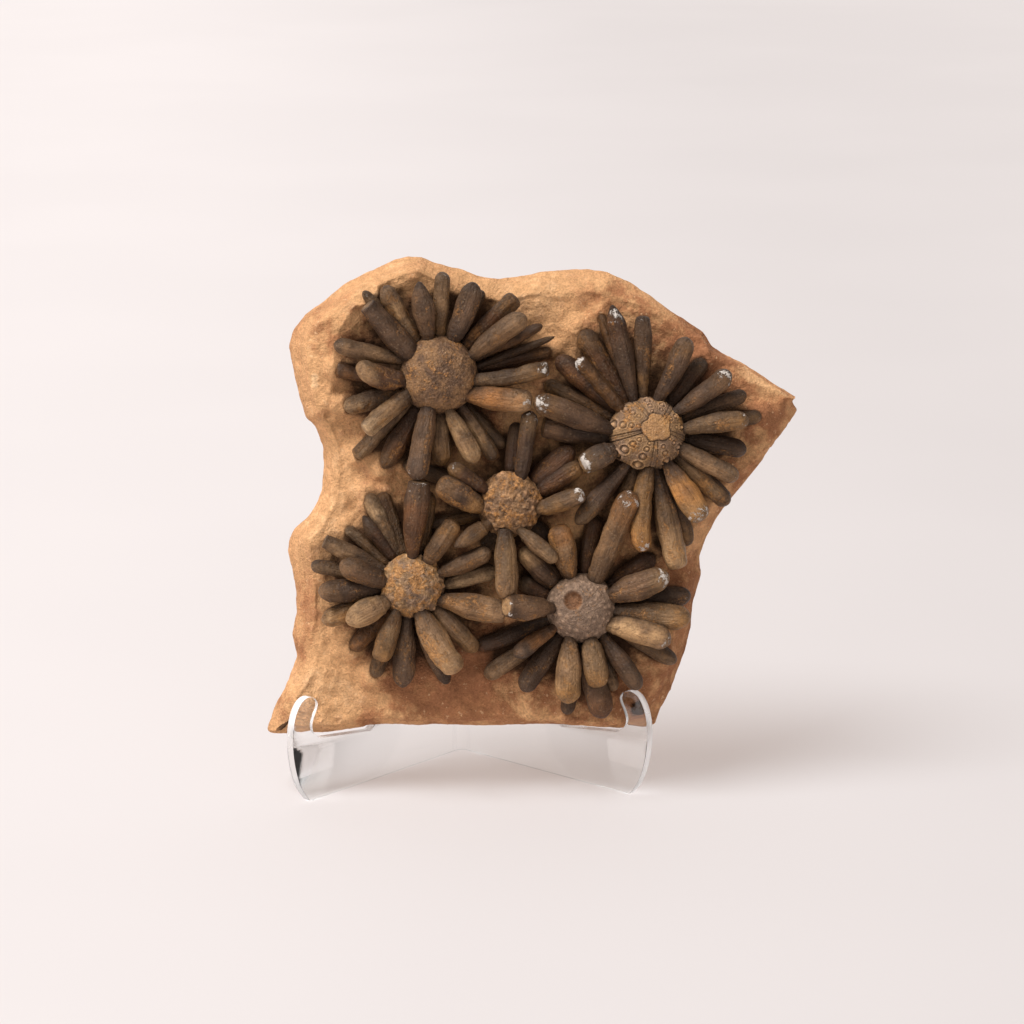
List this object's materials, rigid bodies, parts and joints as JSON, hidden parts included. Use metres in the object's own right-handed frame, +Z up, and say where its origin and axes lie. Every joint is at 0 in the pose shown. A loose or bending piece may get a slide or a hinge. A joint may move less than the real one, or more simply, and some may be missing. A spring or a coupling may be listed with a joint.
{
  "type": "fossil sea urchin plate on a clear stand",
  "caption": "Sandy rock slab with fossil sea urchins, round tests and club-shaped spines spread like petals, leaning on a folded clear sheet stand.",
  "frame": {"origin": "on the ground, under the middle of the whole piece's footprint", "axes": "+Z up, +Y from the viewer to the back of the stand, +X to the viewer's right"},
  "size_m": [0.2414, 0.0865, 0.2381],
  "materials": {
    "rock": "matt sandy orange-brown rock with fine grain",
    "fossil": "dull brown calcite with ochre crust",
    "acrylic": "clear polished sheet"
  },
  "bodies": {
    "root": {"rock_slab": "rock", "urchin_upper_left": "fossil", "urchin_upper_right": "fossil", "urchin_centre": "fossil", "urchin_lower_left": "fossil", "urchin_lower_right": "fossil", "acrylic_stand": "acrylic"}
  },
  "joints": []
}
